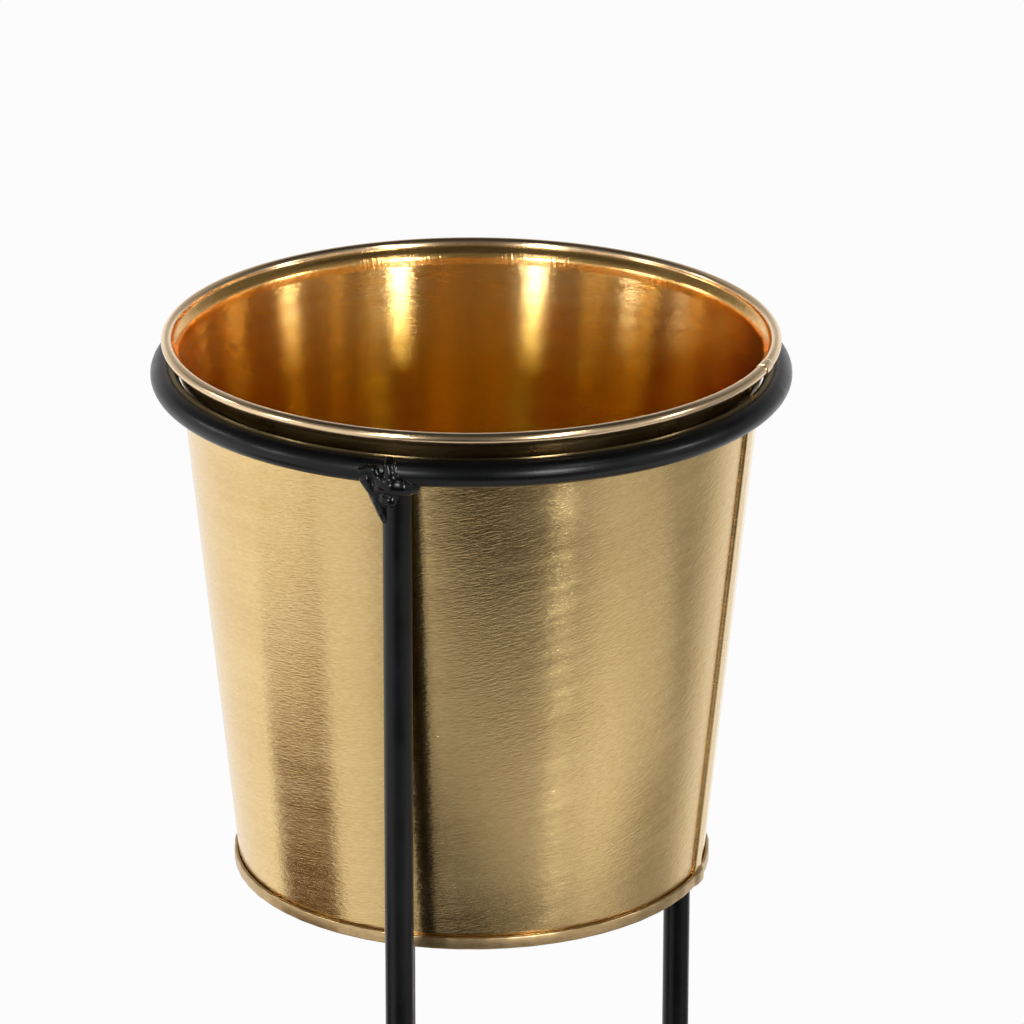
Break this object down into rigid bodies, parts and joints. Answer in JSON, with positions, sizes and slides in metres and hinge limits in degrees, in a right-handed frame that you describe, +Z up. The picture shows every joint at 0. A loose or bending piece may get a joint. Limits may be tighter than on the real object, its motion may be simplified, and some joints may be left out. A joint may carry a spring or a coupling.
{
  "type": "plant stand",
  "caption": "Free-standing plant stand: joined round-rod rings at stepped heights, each holding a tapered brushed-brass pot that lifts out.",
  "frame": {"origin": "middle of the footprint's box, on the floor", "axes": "+Z up; the highest ring stands towards -Y, the middle one towards +X, the lowest towards -X"},
  "size_m": [0.2736, 0.2571, 0.7806],
  "materials": {
    "black_coat": "satin black powder coat",
    "black_plastic": "soft matte black",
    "brushed_brass": "brushed round the pot, rolled rim polished",
    "base_brass": "satin, a little darker than the wall"
  },
  "bodies": {
    "stand": {"ring_top": "black_coat", "ring_mid": "black_coat", "ring_low": "black_coat", "leg_top_outer": "black_coat", "leg_mid_outer": "black_coat", "leg_low_outer": "black_coat", "leg_top_mid": "black_coat", "leg_top_low": "black_coat", "leg_mid_low": "black_coat", "welds_top": "black_coat", "welds_mid": "black_coat", "welds_low": "black_coat", "foot_top_outer": "black_plastic", "foot_mid_outer": "black_plastic", "foot_low_outer": "black_plastic", "foot_top_mid": "black_plastic", "foot_top_low": "black_plastic", "foot_mid_low": "black_plastic"},
    "pot_top": {"pot_top_wall": "brushed_brass", "pot_top_base": "base_brass"},
    "pot_mid": {"pot_mid_wall": "brushed_brass", "pot_mid_base": "base_brass"},
    "pot_low": {"pot_low_wall": "brushed_brass", "pot_low_base": "base_brass"}
  },
  "joints": [
    {"name": "lift_top_pot", "type": "slide", "parent": "stand", "child": "pot_top", "axis": [0, 0, 1], "range_m": [0, 0.14]},
    {"name": "lift_mid_pot", "type": "slide", "parent": "stand", "child": "pot_mid", "axis": [0, 0, 1], "range_m": [0, 0.14]},
    {"name": "lift_low_pot", "type": "slide", "parent": "stand", "child": "pot_low", "axis": [0, 0, 1], "range_m": [0, 0.14]}
  ]
}
